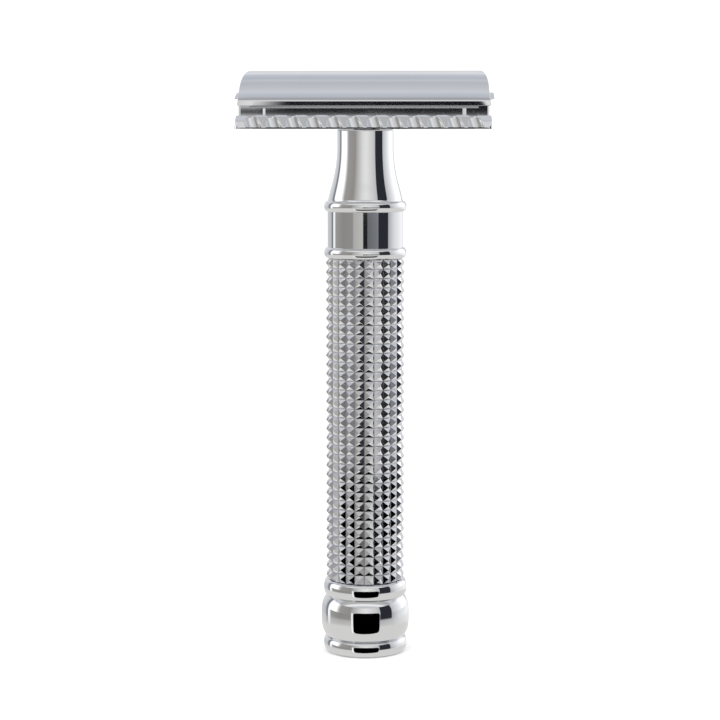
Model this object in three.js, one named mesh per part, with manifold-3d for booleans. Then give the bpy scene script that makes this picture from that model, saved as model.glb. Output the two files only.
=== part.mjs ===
// A three-piece safety razor for a standard double-edge blade, in millimetres, +Z up the handle.
// The origin is the centre of the pommel's foot, X runs along the blade's edges, and -Y is the front.
//
// The handle is a pommel, a pyramid-knurled sleeve and a necked collar, drawn together by a rod inside.
// The head is a guard plate, the blade and a cap, which screws down into the neck by its stud.

import * as THREE from 'three';
import { mergeVertices } from 'three/addons/utils/BufferGeometryUtils.js';
import Module from 'manifold-3d';

const wasm = await Module();
wasm.setup();

// ---------------------------------------------------------------- driving dimensions

const ROUND_SEGMENTS = 40; // facets round the turned pieces
const SMALL_SEGMENTS = 20; // facets round pins, holes and flutes
const FIXED_GAP = 0.05; // between pieces that are screwed or pressed together
const RUNNING_GAP = 0.25; // between pieces that slide past each other

// Handle
const HANDLE_TOP = 88.8; // seat of the guard plate, above the foot
const FOOT_RADIUS = 6.3;
const FOOT_EDGE = 0.05; // the foot's rim starts this high
const POMMEL_RING_RADIUS = 7.1;
const GROOVE_RADIUS = 6.6; // where the rings meet the barrel
const BARREL_BOTTOM = 2.4; // and top of the foot's ring
const BARREL_TOP = 9.55; // and bottom of the upper ring
const BARREL_RADIUS = 7.5; // at its widest
const BARREL_SQUARENESS = 3.3; // 2 would be a plain arc, and more is straighter with rounder shoulders
const POMMEL_TOP = 12.25;

const GRIP_COLUMNS = 24; // pyramids round the sleeve
const GRIP_ROWS = 35;
const GRIP_VALLEY_RADIUS = 6.2;
const GRIP_APEX_RADIUS = 6.68;
const GRIP_BORE_RADIUS = 4.6;

const COLLAR_BOTTOM = 67.2;
const RING_RADIUS = 6.95; // the collar's two rings
const RING_HEIGHT = 1.8;
const BAND_RADIUS = 6.37;
const BAND_TOP = 75;
const NECK_BASE_RADIUS = 6.28;
const NECK_RADIUS = 4.75;
const NECK_STRAIGHT_FROM = 85.8; // the flare ends here and the neck is a plain cylinder above

const SPIGOT_LENGTH = 5; // of the pommel and the collar inside the sleeve
const ROD_RADIUS = 2;
const ROD_BOTTOM = 5.5;
const ROD_TOP = 70.1;

// Cap screw, M5 x 0.8
const STUD_RADIUS = 2.45;
const STUD_BOTTOM = 80.3;
const INSERT_BOTTOM = 77.8;
const INSERT_RADIUS = 3.5;

// Blade, a standard double-edge blade bent over the guard plate
const BLADE_LENGTH = 42.8;
const BLADE_WIDTH = 22;
const BLADE_THICKNESS = 0.1;
const BLADE_EDGE_LENGTH = 37.4; // the sharpened stretch
const BLADE_TAB_WIDTH = 14;
const BLADE_SLOT_LENGTH = 34;
const BLADE_SLOT_WIDTH = 2.2;
const BLADE_EYE_RADIUS = 1.8; // slot's round eyes for the pins
const BLADE_CENTRE_EYE_RADIUS = 3;
const BLADE_EDGE_HEIGHT = 92.2;
const BEND_RADIUS = 22;
const CLAMP_GAP = 0.02;

// Guard plate
const PLATE_LENGTH = 42;
const PLATE_TOP_LENGTH = 41.5; // its ends lean in a little
const PLATE_WIDTH = 25.9;
const FLOOR_TOP = 90;
const BAR_INNER = 11.3; // from the middle to the inside of a safety bar
const BAR_TOP = 91.1;
const BAR_LEAN = 1.05; // of the scalloped outer face, inward at the top
const BAR_ROUNDING = 0.45; // along the bar's lower edge
const BAR_CHAMFER = 0.35; // along its upper edge
const END_DROP = 0.1; // of the plain stretch at each end of a bar
const END_LEAN = 0.5;
const END_CHAMFER = 0.9;
const FLUTE_PITCH = 3.28;
const FLUTES = 12; // on each bar
const FLUTE_RADIUS = 1.5;
const FLUTE_LEAN = THREE.MathUtils.degToRad(18); // inward at the top, less than the face they are cut in
const FLUTE_SLANT = THREE.MathUtils.degToRad(18); // sideways
const FLUTE_DEPTH = 0.72; // at the bottom of the bar
const PLATFORM_HALF_WIDTH = 8.6;
const PLATFORM_LENGTH = 32.6;
const END_BLOCK_HALF_WIDTH = 9.7;
const END_BLOCK_OUTER = 20.5;
const DRAIN_WIDTH = 1.5;
const DRAIN_INNER_END = 3;
const DRAIN_OUTER_END = 15.5;
const DRAIN_MIDDLE = 10; // from the plate's middle line

// Cap
const CAP_TOP = 98.6;
const CAP_LENGTH = 41.6;
const CAP_WIDTH = 20;
const CAP_LIP_TOP = 93.45;
const CAP_END_LEAN = 0.25; // the ends lean in by this much up to their rounding
const CAP_END_ROUND_WIDTH = 1.25;
const CAP_END_ROUND_HEIGHT = 3.4;
const PIN_SPACING = 29;
const PIN_RADIUS = 1.5;
const PIN_BOTTOM = 89.4;
const SOCKET_TOP = 96.8; // where the stud and pins end inside the cap

// ---------------------------------------------------------------- derived sizes

const BEND_HALF_ANGLE = BLADE_WIDTH / 2 / BEND_RADIUS;
const BEND_CENTRE_Z = BLADE_EDGE_HEIGHT - BEND_RADIUS * Math.cos(BEND_HALF_ANGLE);
const SEAT_RADIUS = BEND_RADIUS - BLADE_THICKNESS / 2 - CLAMP_GAP;
const CAP_UNDERSIDE_RADIUS = BEND_RADIUS + BLADE_THICKNESS / 2 + CLAMP_GAP;
const SLEEVE_BOTTOM = POMMEL_TOP + FIXED_GAP;
const SLEEVE_TOP = COLLAR_BOTTOM - FIXED_GAP;
const SPIGOT_RADIUS = GRIP_BORE_RADIUS - FIXED_GAP;
const HALF_TURN = Math.PI;
const HIGH = 200; // taller than anything here, for cutters

// ---------------------------------------------------------------- helpers

function toSolid(geometry) {
  const bare = geometry.index ? geometry.toNonIndexed() : geometry.clone();
  bare.deleteAttribute('normal');
  bare.deleteAttribute('uv');
  const merged = mergeVertices(bare, 1e-5);
  const mesh = new wasm.Mesh({
    numProp: 3,
    vertProperties: new Float32Array(merged.attributes.position.array),
    triVerts: new Uint32Array(merged.index.array),
  });
  mesh.merge();
  return new wasm.Manifold(mesh);
}

function toGeometry(solid) {
  const mesh = solid.getMesh();
  const geometry = new THREE.BufferGeometry();
  geometry.setAttribute('position', new THREE.BufferAttribute(mesh.vertProperties, mesh.numProp));
  geometry.setIndex(new THREE.BufferAttribute(mesh.triVerts, 1));
  geometry.computeVertexNormals();
  return geometry;
}

/** Turns a closed profile of [radius, height] points about the Z axis. */
function turned(profile, segments = ROUND_SEGMENTS) {
  const points = profile.map(([radius, height]) => new THREE.Vector2(radius, height));
  const geometry = new THREE.LatheGeometry(points, segments);
  geometry.rotateX(HALF_TURN / 2);
  return geometry;
}

/** A plain upright round bar between two heights. */
function roundBar(radius, bottom, top, segments = SMALL_SEGMENTS) {
  return turned([[0, bottom], [radius, bottom], [radius, top], [0, top]], segments);
}

/** Extrudes an outline of [y, z] points along X, centred on the middle. */
function alongX(outline, length) {
  const shape = new THREE.Shape(outline.map(([y, z]) => new THREE.Vector2(y, z)));
  const geometry = new THREE.ExtrudeGeometry(shape, { depth: length, bevelEnabled: false });
  geometry.translate(0, 0, -length / 2);
  // The outline's x, y and the extrusion's z become the model's Y, Z and X.
  geometry.applyMatrix4(new THREE.Matrix4().makeBasis(
    new THREE.Vector3(0, 1, 0), new THREE.Vector3(0, 0, 1), new THREE.Vector3(1, 0, 0)));
  return geometry;
}

/** Extrudes an outline of [x, z] points along Y, centred on the middle. */
function alongY(outline, width) {
  const shape = new THREE.Shape(outline.map(([x, z]) => new THREE.Vector2(x, z)));
  const geometry = new THREE.ExtrudeGeometry(shape, { depth: width, bevelEnabled: false });
  geometry.rotateX(HALF_TURN / 2);
  geometry.translate(0, width / 2, 0);
  return geometry;
}

/** Extrudes a Shape in X and Y upward from one height to another. */
function upright(shape, bottom, top, curveSegments = 8) {
  const options = { depth: top - bottom, bevelEnabled: false, curveSegments };
  return new THREE.ExtrudeGeometry(shape, options).translate(0, 0, bottom);
}

/** Points of an arc about [cy, cz], from one angle to another, both included. */
function arc(cy, cz, radius, from, to, steps) {
  return Array.from({ length: steps + 1 }, (_, i) => {
    const angle = from + ((to - from) * i) / steps;
    return [cy + radius * Math.cos(angle), cz + radius * Math.sin(angle)];
  });
}

/** Profile points of a half-round bead standing out of a turned surface, from bottom to top. */
function bead(rootRadius, crestRadius, bottom, top, steps = 6) {
  const middle = (bottom + top) / 2;
  return Array.from({ length: steps + 1 }, (_, i) => {
    const angle = HALF_TURN * (i / steps - 0.5);
    return [
      rootRadius + (crestRadius - rootRadius) * Math.cos(angle),
      middle + ((top - bottom) / 2) * Math.sin(angle),
    ];
  });
}

/** Points where the line y = +-halfWidth meets a circle of the bend's centre, as arc angles. */
function bendAngles(radius, halfWidth) {
  const lean = Math.asin(halfWidth / radius);
  return [HALF_TURN / 2 - lean, HALF_TURN / 2 + lean];
}

/** A rectangle in X and Y with round corners. */
function roundedRectangle(length, width, cornerRadius) {
  const x = length / 2;
  const y = width / 2;
  const shape = new THREE.Shape();
  shape.moveTo(cornerRadius - x, -y);
  shape.lineTo(x - cornerRadius, -y);
  shape.absarc(x - cornerRadius, cornerRadius - y, cornerRadius, -HALF_TURN / 2, 0);
  shape.lineTo(x, y - cornerRadius);
  shape.absarc(x - cornerRadius, y - cornerRadius, cornerRadius, 0, HALF_TURN / 2);
  shape.lineTo(cornerRadius - x, y);
  shape.absarc(cornerRadius - x, y - cornerRadius, cornerRadius, HALF_TURN / 2, HALF_TURN);
  shape.lineTo(-x, cornerRadius - y);
  shape.absarc(cornerRadius - x, cornerRadius - y, cornerRadius, HALF_TURN, 1.5 * HALF_TURN);
  return shape;
}

// ---------------------------------------------------------------- handle

function pommel() {
  const boreRadius = ROD_RADIUS + FIXED_GAP;
  const barrelMiddle = (BARREL_BOTTOM + BARREL_TOP) / 2;
  const barrelHalf = (BARREL_TOP - BARREL_BOTTOM) / 2;
  const steps = 14;
  const barrel = Array.from({ length: steps - 1 }, (_, i) => {
    const along = (2 * (i + 1)) / steps - 1;
    const crown = (BARREL_RADIUS - GROOVE_RADIUS) * (1 - Math.abs(along) ** BARREL_SQUARENESS);
    return [GROOVE_RADIUS + crown, barrelMiddle + barrelHalf * along];
  });
  return turned([
    [0, 0],
    [FOOT_RADIUS, 0],
    ...bead(GROOVE_RADIUS, POMMEL_RING_RADIUS, FOOT_EDGE, BARREL_BOTTOM),
    ...barrel,
    ...bead(GROOVE_RADIUS, POMMEL_RING_RADIUS, BARREL_TOP, POMMEL_TOP),
    [SPIGOT_RADIUS, POMMEL_TOP],
    [SPIGOT_RADIUS, POMMEL_TOP + SPIGOT_LENGTH],
    [boreRadius, POMMEL_TOP + SPIGOT_LENGTH],
    [boreRadius, ROD_BOTTOM - FIXED_GAP],
    [0, ROD_BOTTOM - FIXED_GAP],
  ]);
}

/** The sleeve: a tube whose outside is a grid of four-sided pyramids lined up with its axis. */
function gripSleeve() {
  const positions = [];
  const triangles = [];
  const cell = (SLEEVE_TOP - SLEEVE_BOTTOM) / GRIP_ROWS;
  const turn = (2 * HALF_TURN) / GRIP_COLUMNS;
  const addPoint = (radius, angle, height) => {
    positions.push(radius * Math.cos(angle), radius * Math.sin(angle), height);
    return positions.length / 3 - 1;
  };
  const addRing = (radius, height, offset = 0) => Array.from(
    { length: GRIP_COLUMNS }, (_, i) => addPoint(radius, turn * (i + offset), height));
  const addBand = (lower, upper) => {
    lower.forEach((a, i) => {
      const next = (i + 1) % GRIP_COLUMNS;
      triangles.push(a, lower[next], upper[next], a, upper[next], upper[i]);
    });
  };

  const rings = Array.from({ length: GRIP_ROWS + 1 }, (_, row) =>
    addRing(GRIP_VALLEY_RADIUS, SLEEVE_BOTTOM + cell * row));
  for (let row = 0; row < GRIP_ROWS; row += 1) {
    const peaks = addRing(GRIP_APEX_RADIUS, SLEEVE_BOTTOM + cell * (row + 0.5), 0.5);
    const lower = rings[row];
    const upper = rings[row + 1];
    peaks.forEach((peak, i) => {
      const next = (i + 1) % GRIP_COLUMNS;
      triangles.push(lower[i], lower[next], peak);
      triangles.push(lower[next], upper[next], peak);
      triangles.push(upper[next], upper[i], peak);
      triangles.push(upper[i], lower[i], peak);
    });
  }
  const boreBottom = addRing(GRIP_BORE_RADIUS / Math.cos(turn / 2), SLEEVE_BOTTOM);
  const boreTop = addRing(GRIP_BORE_RADIUS / Math.cos(turn / 2), SLEEVE_TOP);
  addBand(rings[GRIP_ROWS], boreTop);
  addBand(boreTop, boreBottom);
  addBand(boreBottom, rings[0]);

  const geometry = new THREE.BufferGeometry();
  geometry.setAttribute('position', new THREE.Float32BufferAttribute(positions, 3));
  geometry.setIndex(triangles);
  geometry.computeVertexNormals();
  return geometry;
}

function coreRod() {
  return roundBar(ROD_RADIUS, ROD_BOTTOM, ROD_TOP);
}

/** The necked collar: spigot, two beads with a plain band between, and the flare up to the seat. */
function neck() {
  const lowerRingTop = COLLAR_BOTTOM + RING_HEIGHT;
  const flareBottom = BAND_TOP + RING_HEIGHT;
  const flare = new THREE.CubicBezierCurve(
    new THREE.Vector2(NECK_BASE_RADIUS, flareBottom + 0.2),
    new THREE.Vector2(5.7, flareBottom + 2.9),
    new THREE.Vector2(NECK_RADIUS + 0.06, flareBottom + 4.9),
    new THREE.Vector2(NECK_RADIUS, NECK_STRAIGHT_FROM),
  );
  const socketRadius = INSERT_RADIUS + FIXED_GAP;
  const rodRadius = ROD_RADIUS + FIXED_GAP;
  const shoulder = 0.12; // small chamfer at the seat
  return turned([
    [0, ROD_TOP + FIXED_GAP],
    [rodRadius, ROD_TOP + FIXED_GAP],
    [rodRadius, COLLAR_BOTTOM - SPIGOT_LENGTH],
    [SPIGOT_RADIUS, COLLAR_BOTTOM - SPIGOT_LENGTH],
    [SPIGOT_RADIUS, COLLAR_BOTTOM],
    ...bead(BAND_RADIUS, RING_RADIUS, COLLAR_BOTTOM, lowerRingTop),
    ...bead(BAND_RADIUS, RING_RADIUS, BAND_TOP, flareBottom),
    ...flare.getPoints(9).map((point) => [point.x, point.y]),
    [NECK_RADIUS, HANDLE_TOP - FIXED_GAP - shoulder],
    [NECK_RADIUS - shoulder, HANDLE_TOP - FIXED_GAP],
    [socketRadius, HANDLE_TOP - FIXED_GAP],
    [socketRadius, INSERT_BOTTOM - FIXED_GAP],
    [0, INSERT_BOTTOM - FIXED_GAP],
  ]);
}

function threadInsert() {
  const bore = STUD_RADIUS + FIXED_GAP;
  const top = HANDLE_TOP - 2 * FIXED_GAP;
  return turned([
    [bore, INSERT_BOTTOM], [INSERT_RADIUS, INSERT_BOTTOM],
    [INSERT_RADIUS, top], [bore, top], [bore, INSERT_BOTTOM],
  ], SMALL_SEGMENTS);
}

// ---------------------------------------------------------------- guard plate

/** Section of the back safety bar in [y, z], from the plate's foot out, up and in to the floor. */
function barOutline(topHeight, lean, chamfer, overhang) {
  const outer = PLATE_WIDTH / 2;
  return [
    [BAR_INNER - overhang, HANDLE_TOP],
    [outer - BAR_ROUNDING, HANDLE_TOP],
    [outer - BAR_ROUNDING / 4, HANDLE_TOP + BAR_ROUNDING / 3],
    [outer, HANDLE_TOP + BAR_ROUNDING],
    [outer - lean, topHeight - chamfer],
    [outer - lean - chamfer / 3, topHeight - chamfer / 3],
    [outer - lean - chamfer, topHeight],
    [BAR_INNER, topHeight],
    [BAR_INNER, FLOOR_TOP],
    [BAR_INNER - overhang, FLOOR_TOP],
  ];
}

function mirroredInY(outline) {
  return outline.map(([y, z]) => [-y, z]).reverse();
}

/** Both safety bars: a plain stretch at each end and a taller scalloped stretch between. */
function safetyBars() {
  const floorOverlap = 0.5;
  const plain = barOutline(BAR_TOP - END_DROP, END_LEAN, END_CHAMFER, floorOverlap);
  const raised = barOutline(BAR_TOP, BAR_LEAN, BAR_CHAMFER, floorOverlap);
  const raisedLength = FLUTE_PITCH * (FLUTES - 1);
  let bars = toSolid(alongX(plain, PLATE_LENGTH)).add(toSolid(alongX(mirroredInY(plain), PLATE_LENGTH)));
  bars = bars.add(toSolid(alongX(raised, raisedLength)));
  bars = bars.add(toSolid(alongX(mirroredInY(raised), raisedLength)));
  const axisY = PLATE_WIDTH / 2 + FLUTE_RADIUS - FLUTE_DEPTH;
  const slantShift = ((BAR_TOP - HANDLE_TOP) / 2) * Math.tan(FLUTE_SLANT); // centres a flute at mid-height
  for (let i = 0; i < FLUTES; i += 1) {
    const x = FLUTE_PITCH * (i - (FLUTES - 1) / 2);
    for (const side of [-1, 1]) {
      const cutter = new THREE.CylinderGeometry(FLUTE_RADIUS, FLUTE_RADIUS, 12, SMALL_SEGMENTS);
      cutter.rotateX(HALF_TURN / 2 + side * FLUTE_LEAN);
      cutter.rotateY(side * FLUTE_SLANT);
      cutter.translate(x - side * slantShift, side * axisY, HANDLE_TOP);
      bars = bars.subtract(toSolid(cutter));
    }
  }
  return bars;
}

/** The arched seat that bends the blade: a block under the bend, between the given heights. */
function archedBlock(length, halfWidth) {
  const [from, to] = bendAngles(SEAT_RADIUS, halfWidth);
  const outline = [
    [-halfWidth, HANDLE_TOP],
    [halfWidth, HANDLE_TOP],
    ...arc(0, BEND_CENTRE_Z, SEAT_RADIUS, from, to, 12),
  ];
  return toSolid(alongX(outline, length));
}

function drainSlots() {
  const length = DRAIN_OUTER_END - DRAIN_INNER_END;
  const slot = roundedRectangle(length, DRAIN_WIDTH, DRAIN_WIDTH / 2 - 0.01);
  return [-1, 1].flatMap((sideX) => [-1, 1].map((sideY) => {
    const cutter = upright(slot, HANDLE_TOP - 1, FLOOR_TOP + 1, 5);
    cutter.translate((sideX * (DRAIN_OUTER_END + DRAIN_INNER_END)) / 2, sideY * DRAIN_MIDDLE, 0);
    return toSolid(cutter);
  }));
}

function guardPlate() {
  const floorWidth = 2 * BAR_INNER;
  let plate = toSolid(upright(roundedRectangle(PLATE_LENGTH, floorWidth, 0.5), HANDLE_TOP, FLOOR_TOP, 3));
  plate = plate.add(safetyBars());
  plate = plate.add(archedBlock(PLATFORM_LENGTH, PLATFORM_HALF_WIDTH));
  const endBlocks = archedBlock(2 * END_BLOCK_OUTER, END_BLOCK_HALF_WIDTH);
  const gapBetween = alongY([
    [-PLATFORM_LENGTH / 2, HANDLE_TOP - 1], [PLATFORM_LENGTH / 2, HANDLE_TOP - 1],
    [PLATFORM_LENGTH / 2, HIGH], [-PLATFORM_LENGTH / 2, HIGH],
  ], HIGH);
  plate = plate.add(endBlocks.subtract(toSolid(gapBetween)));

  // The ends lean in towards the top, and the corners are rounded in plan.
  const trim = alongY([
    [-PLATE_LENGTH / 2, HANDLE_TOP], [PLATE_LENGTH / 2, HANDLE_TOP],
    [PLATE_TOP_LENGTH / 2, BAR_TOP], [PLATE_TOP_LENGTH / 2, HIGH],
    [-PLATE_TOP_LENGTH / 2, HIGH], [-PLATE_TOP_LENGTH / 2, BAR_TOP],
  ], 2 * PLATE_WIDTH);
  plate = plate.intersect(toSolid(trim));
  plate = plate.intersect(toSolid(upright(roundedRectangle(PLATE_LENGTH, PLATE_WIDTH, 0.8), 0, HIGH, 4)));

  drainSlots().forEach((slot) => {
    plate = plate.subtract(slot);
  });
  plate = plate.subtract(toSolid(roundBar(STUD_RADIUS + RUNNING_GAP, HANDLE_TOP - 1, HIGH)));
  for (const side of [-1, 1]) {
    const hole = roundBar(PIN_RADIUS + RUNNING_GAP, HANDLE_TOP - 1, HIGH);
    plate = plate.subtract(toSolid(hole.translate((side * PIN_SPACING) / 2, 0, 0)));
  }
  return toGeometry(plate);
}

// ---------------------------------------------------------------- blade

/** Flat outline of the blade in X and Y, with its notched corners and its slot with three eyes. */
function bladeOutline() {
  const x = BLADE_LENGTH / 2;
  const edgeX = BLADE_EDGE_LENGTH / 2;
  const y = BLADE_WIDTH / 2;
  const tabY = BLADE_TAB_WIDTH / 2;
  const shape = new THREE.Shape([
    [-x, -tabY], [-edgeX, -tabY], [-edgeX, -y], [edgeX, -y], [edgeX, -tabY], [x, -tabY],
    [x, tabY], [edgeX, tabY], [edgeX, y], [-edgeX, y], [-edgeX, tabY], [-x, tabY],
  ].map(([px, py]) => new THREE.Vector2(px, py)));
  return shape;
}

function bladeSlot() {
  const slot = upright(
    roundedRectangle(BLADE_SLOT_LENGTH, BLADE_SLOT_WIDTH, BLADE_SLOT_WIDTH / 2 - 0.01), 0, HIGH, 4);
  let cutter = toSolid(slot).add(toSolid(roundBar(BLADE_CENTRE_EYE_RADIUS, 0, HIGH)));
  for (const side of [-1, 1]) {
    const eye = roundBar(BLADE_EYE_RADIUS, 0, HIGH);
    cutter = cutter.add(toSolid(eye.translate((side * PIN_SPACING) / 2, 0, 0)));
  }
  return cutter;
}

function blade() {
  const inner = BEND_RADIUS - BLADE_THICKNESS / 2;
  const outer = BEND_RADIUS + BLADE_THICKNESS / 2;
  const from = HALF_TURN / 2 - BEND_HALF_ANGLE;
  const to = HALF_TURN / 2 + BEND_HALF_ANGLE;
  const steps = 16;
  const section = [
    ...arc(0, BEND_CENTRE_Z, outer, from, to, steps),
    ...arc(0, BEND_CENTRE_Z, inner, to, from, steps),
  ];
  const sheet = toSolid(alongX(section, BLADE_LENGTH));
  const outline = toSolid(upright(bladeOutline(), 0, HIGH));
  return toGeometry(sheet.intersect(outline).subtract(bladeSlot()));
}

// ---------------------------------------------------------------- cap

/** End view of the cap in [y, z]: a domed top, an upright lip and the arch that presses the blade. */
function capSection() {
  const halfWidth = CAP_WIDTH / 2;
  const rise = CAP_TOP - CAP_LIP_TOP;
  const domeRadius = (halfWidth * halfWidth + rise * rise) / (2 * rise);
  const domeCentre = CAP_TOP - domeRadius;
  const domeLean = Math.asin(halfWidth / domeRadius);
  const [from, to] = bendAngles(CAP_UNDERSIDE_RADIUS, halfWidth);
  return [
    ...arc(0, domeCentre, domeRadius, HALF_TURN / 2 - domeLean, HALF_TURN / 2 + domeLean, 20),
    ...arc(0, BEND_CENTRE_Z, CAP_UNDERSIDE_RADIUS, to, from, 14),
  ];
}

/** Front view of the cap in [x, z]: ends that lean in a little and round over into the top. */
function capFrontOutline() {
  const foot = CAP_LENGTH / 2;
  const shoulderX = foot - CAP_END_LEAN;
  const shoulderZ = CAP_TOP - CAP_END_ROUND_HEIGHT;
  const steps = 7;
  const corner = Array.from({ length: steps + 1 }, (_, i) => {
    const angle = (HALF_TURN / 2) * (i / steps);
    return [
      shoulderX - CAP_END_ROUND_WIDTH * (1 - Math.cos(angle)),
      shoulderZ + CAP_END_ROUND_HEIGHT * Math.sin(angle),
    ];
  });
  const mirrored = corner.map(([x, z]) => [-x, z]).reverse();
  return [[-foot, BLADE_EDGE_HEIGHT], [foot, BLADE_EDGE_HEIGHT], ...corner, ...mirrored];
}

function cap() {
  let body = toSolid(alongX(capSection(), CAP_LENGTH));
  body = body.intersect(toSolid(alongY(capFrontOutline(), 2 * CAP_WIDTH)));
  const socketTop = SOCKET_TOP + FIXED_GAP;
  body = body.subtract(toSolid(roundBar(STUD_RADIUS + FIXED_GAP, HANDLE_TOP, socketTop)));
  for (const side of [-1, 1]) {
    const socket = roundBar(PIN_RADIUS + FIXED_GAP, HANDLE_TOP, socketTop);
    body = body.subtract(toSolid(socket.translate((side * PIN_SPACING) / 2, 0, 0)));
  }
  return toGeometry(body);
}

/** The cap's screw, with a short lead-in chamfer at its end. */
function capStud() {
  const chamfer = 0.5;
  return turned([
    [0, STUD_BOTTOM],
    [STUD_RADIUS - chamfer, STUD_BOTTOM],
    [STUD_RADIUS, STUD_BOTTOM + chamfer],
    [STUD_RADIUS, SOCKET_TOP],
    [0, SOCKET_TOP],
  ], SMALL_SEGMENTS);
}

function capPin() {
  const chamfer = 0.3;
  return turned([
    [0, PIN_BOTTOM],
    [PIN_RADIUS - chamfer, PIN_BOTTOM],
    [PIN_RADIUS, PIN_BOTTOM + chamfer],
    [PIN_RADIUS, SOCKET_TOP],
    [0, SOCKET_TOP],
  ], SMALL_SEGMENTS);
}

// ---------------------------------------------------------------- assembly

const chrome = { color: 0xd8dade, roughness: 0.08, metalness: 1 };
const satinChrome = { color: 0xc9cbcf, roughness: 0.2, metalness: 1 };
const steel = { color: 0xbfc2c4, roughness: 0.3, metalness: 1 };
const brass = { color: 0xc9a45a, roughness: 0.3, metalness: 1 };

const razor = new THREE.Group();

function addPart(parent, name, geometry, finish) {
  const part = new THREE.Mesh(geometry, new THREE.MeshStandardMaterial(finish));
  part.name = name;
  parent.add(part);
  return part;
}

const handle = new THREE.Group();
razor.add(handle);
addPart(handle, 'pommel', pommel(), chrome);
addPart(handle, 'grip_sleeve', gripSleeve(), satinChrome);
addPart(handle, 'core_rod', coreRod(), steel);
addPart(handle, 'neck_collar', neck(), chrome);
addPart(handle, 'thread_insert', threadInsert(), brass);

const head = new THREE.Group();
razor.add(head);
addPart(head, 'guard_plate', guardPlate(), chrome);
addPart(head, 'blade', blade(), steel);
addPart(head, 'cap', cap(), chrome);
addPart(head, 'cap_stud', capStud(), brass);
for (const [name, side] of [['cap_pin_left', -1], ['cap_pin_right', 1]]) {
  addPart(head, name, capPin(), steel).position.x = (side * PIN_SPACING) / 2;
}

export default razor;
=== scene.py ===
"""A chromed three-piece safety razor on a pale floor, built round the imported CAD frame.

Everything is in metres in the CAD's frame: +Z up the handle, +X along the blade's edges, -Y the front.
Each visible piece is made here by mesh code to the CAD's sizes and rides on its CAD body.
"""

import math

import bmesh
import bpy
from mathutils import Matrix, Vector


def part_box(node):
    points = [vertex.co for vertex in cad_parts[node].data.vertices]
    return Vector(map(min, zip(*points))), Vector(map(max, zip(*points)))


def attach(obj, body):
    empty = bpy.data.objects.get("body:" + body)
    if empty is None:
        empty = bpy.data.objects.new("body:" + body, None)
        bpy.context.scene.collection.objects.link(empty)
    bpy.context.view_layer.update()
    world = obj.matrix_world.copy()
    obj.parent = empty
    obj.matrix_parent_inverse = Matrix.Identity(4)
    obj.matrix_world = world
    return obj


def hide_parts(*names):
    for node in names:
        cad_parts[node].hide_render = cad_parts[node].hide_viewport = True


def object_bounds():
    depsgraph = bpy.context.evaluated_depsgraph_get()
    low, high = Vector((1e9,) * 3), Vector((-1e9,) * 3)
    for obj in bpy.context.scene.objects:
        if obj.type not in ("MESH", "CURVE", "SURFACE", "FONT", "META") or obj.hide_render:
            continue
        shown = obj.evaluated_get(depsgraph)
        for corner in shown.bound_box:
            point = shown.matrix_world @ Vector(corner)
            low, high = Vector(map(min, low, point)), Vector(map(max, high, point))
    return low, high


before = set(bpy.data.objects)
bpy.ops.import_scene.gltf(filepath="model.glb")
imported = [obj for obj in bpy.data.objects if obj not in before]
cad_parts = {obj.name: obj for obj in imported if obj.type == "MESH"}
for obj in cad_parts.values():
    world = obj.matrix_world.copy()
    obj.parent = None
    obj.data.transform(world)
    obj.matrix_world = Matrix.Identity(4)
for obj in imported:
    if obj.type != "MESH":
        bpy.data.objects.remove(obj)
CAD_LOW, CAD_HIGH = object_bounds()

MM = 0.001
TURN = 2 * math.pi

# ---------------- sizes, in millimetres

GAP = 0.05  # between pieces that meet

# Turned handle pieces
FOOT_RADIUS = 6.3
FOOT_EDGE = 0.1
FOOT_LIFT = 0.03  # of the lowest bead above the foot
POMMEL_RING_RADIUS = 7.1
GROOVE_RADIUS = 6.6
BARREL_BOTTOM = 2.4
BARREL_TOP = 9.55
BARREL_RADIUS = 7.5
BARREL_SQUARENESS = 3.3
RING_RADIUS = 6.95
RING_HEIGHT = 1.8
BAND_RADIUS = 6.37
BAND_TOP = 75.0
NECK_BASE_RADIUS = 6.28
NECK_RADIUS = 4.75
NECK_STRAIGHT_FROM = 85.8
NECK_EDGE = 0.2  # the rounding at the neck's top
FLARE_START = 0.2
FLARE_LOW_PULL = (5.7, 2.9)  # radius, and height above the bead, of the flare's control points
FLARE_HIGH_PULL = (4.81, 4.9)
SOCKET_RADIUS = 3.55
SPIGOT_RADIUS = 4.55
SPIGOT_LENGTH = 5.0

# Pyramid-cut sleeve
GRIP_COLUMNS = 24
GRIP_ROWS = 35
VALLEY_RADIUS = 6.2
APEX_RADIUS = 6.68
GRIP_BORE_RADIUS = 4.6
VALLEY_FLAT = 0.05
APEX_FLAT = 0.12

# Screw threads
M5_PITCH = 0.8
M5_RADIUS = 2.45
M4_PITCH = 0.7
M4_RADIUS = 2.0
THREAD_DEPTH = 0.6  # of the pitch
THREAD_ROOT = 0.12  # of half the pitch, the flat at the root
THREAD_FLANK = 0.72  # of half the pitch, the slope
THREAD_ROWS = 12  # mesh rows to a pitch
ROD_THREAD_BELOW_COLLAR = 2.0
INSERT_CLEARANCE = 0.02
INSERT_EDGE = 0.15

# Blade and its bend
BLADE_WIDTH = 22.0
BLADE_THICKNESS = 0.1
BLADE_EDGE_LENGTH = 37.4
BLADE_TAB_WIDTH = 14.0
BLADE_SLOT_LENGTH = 34.0
BLADE_SLOT_WIDTH = 2.2
PIN_EYE_RADIUS = 1.8
CENTRE_EYE_RADIUS = 3.0
BLADE_EDGE_HEIGHT = 92.2
BEND_RADIUS = 22.0
GROUND_WIDTH = 0.9  # of the bevel along each sharpened edge
GROUND_EDGE = 0.12  # of the thickness that is left at the edge
BLADE_INNER_ROW = 8.0  # where the mesh has a row along X
BLADE_CUT_BOTTOM = 89.0  # of the cutters, well clear of the blade
BLADE_CUT_TOP = 98.0
NOTCH_CORNER = 0.6

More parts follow.
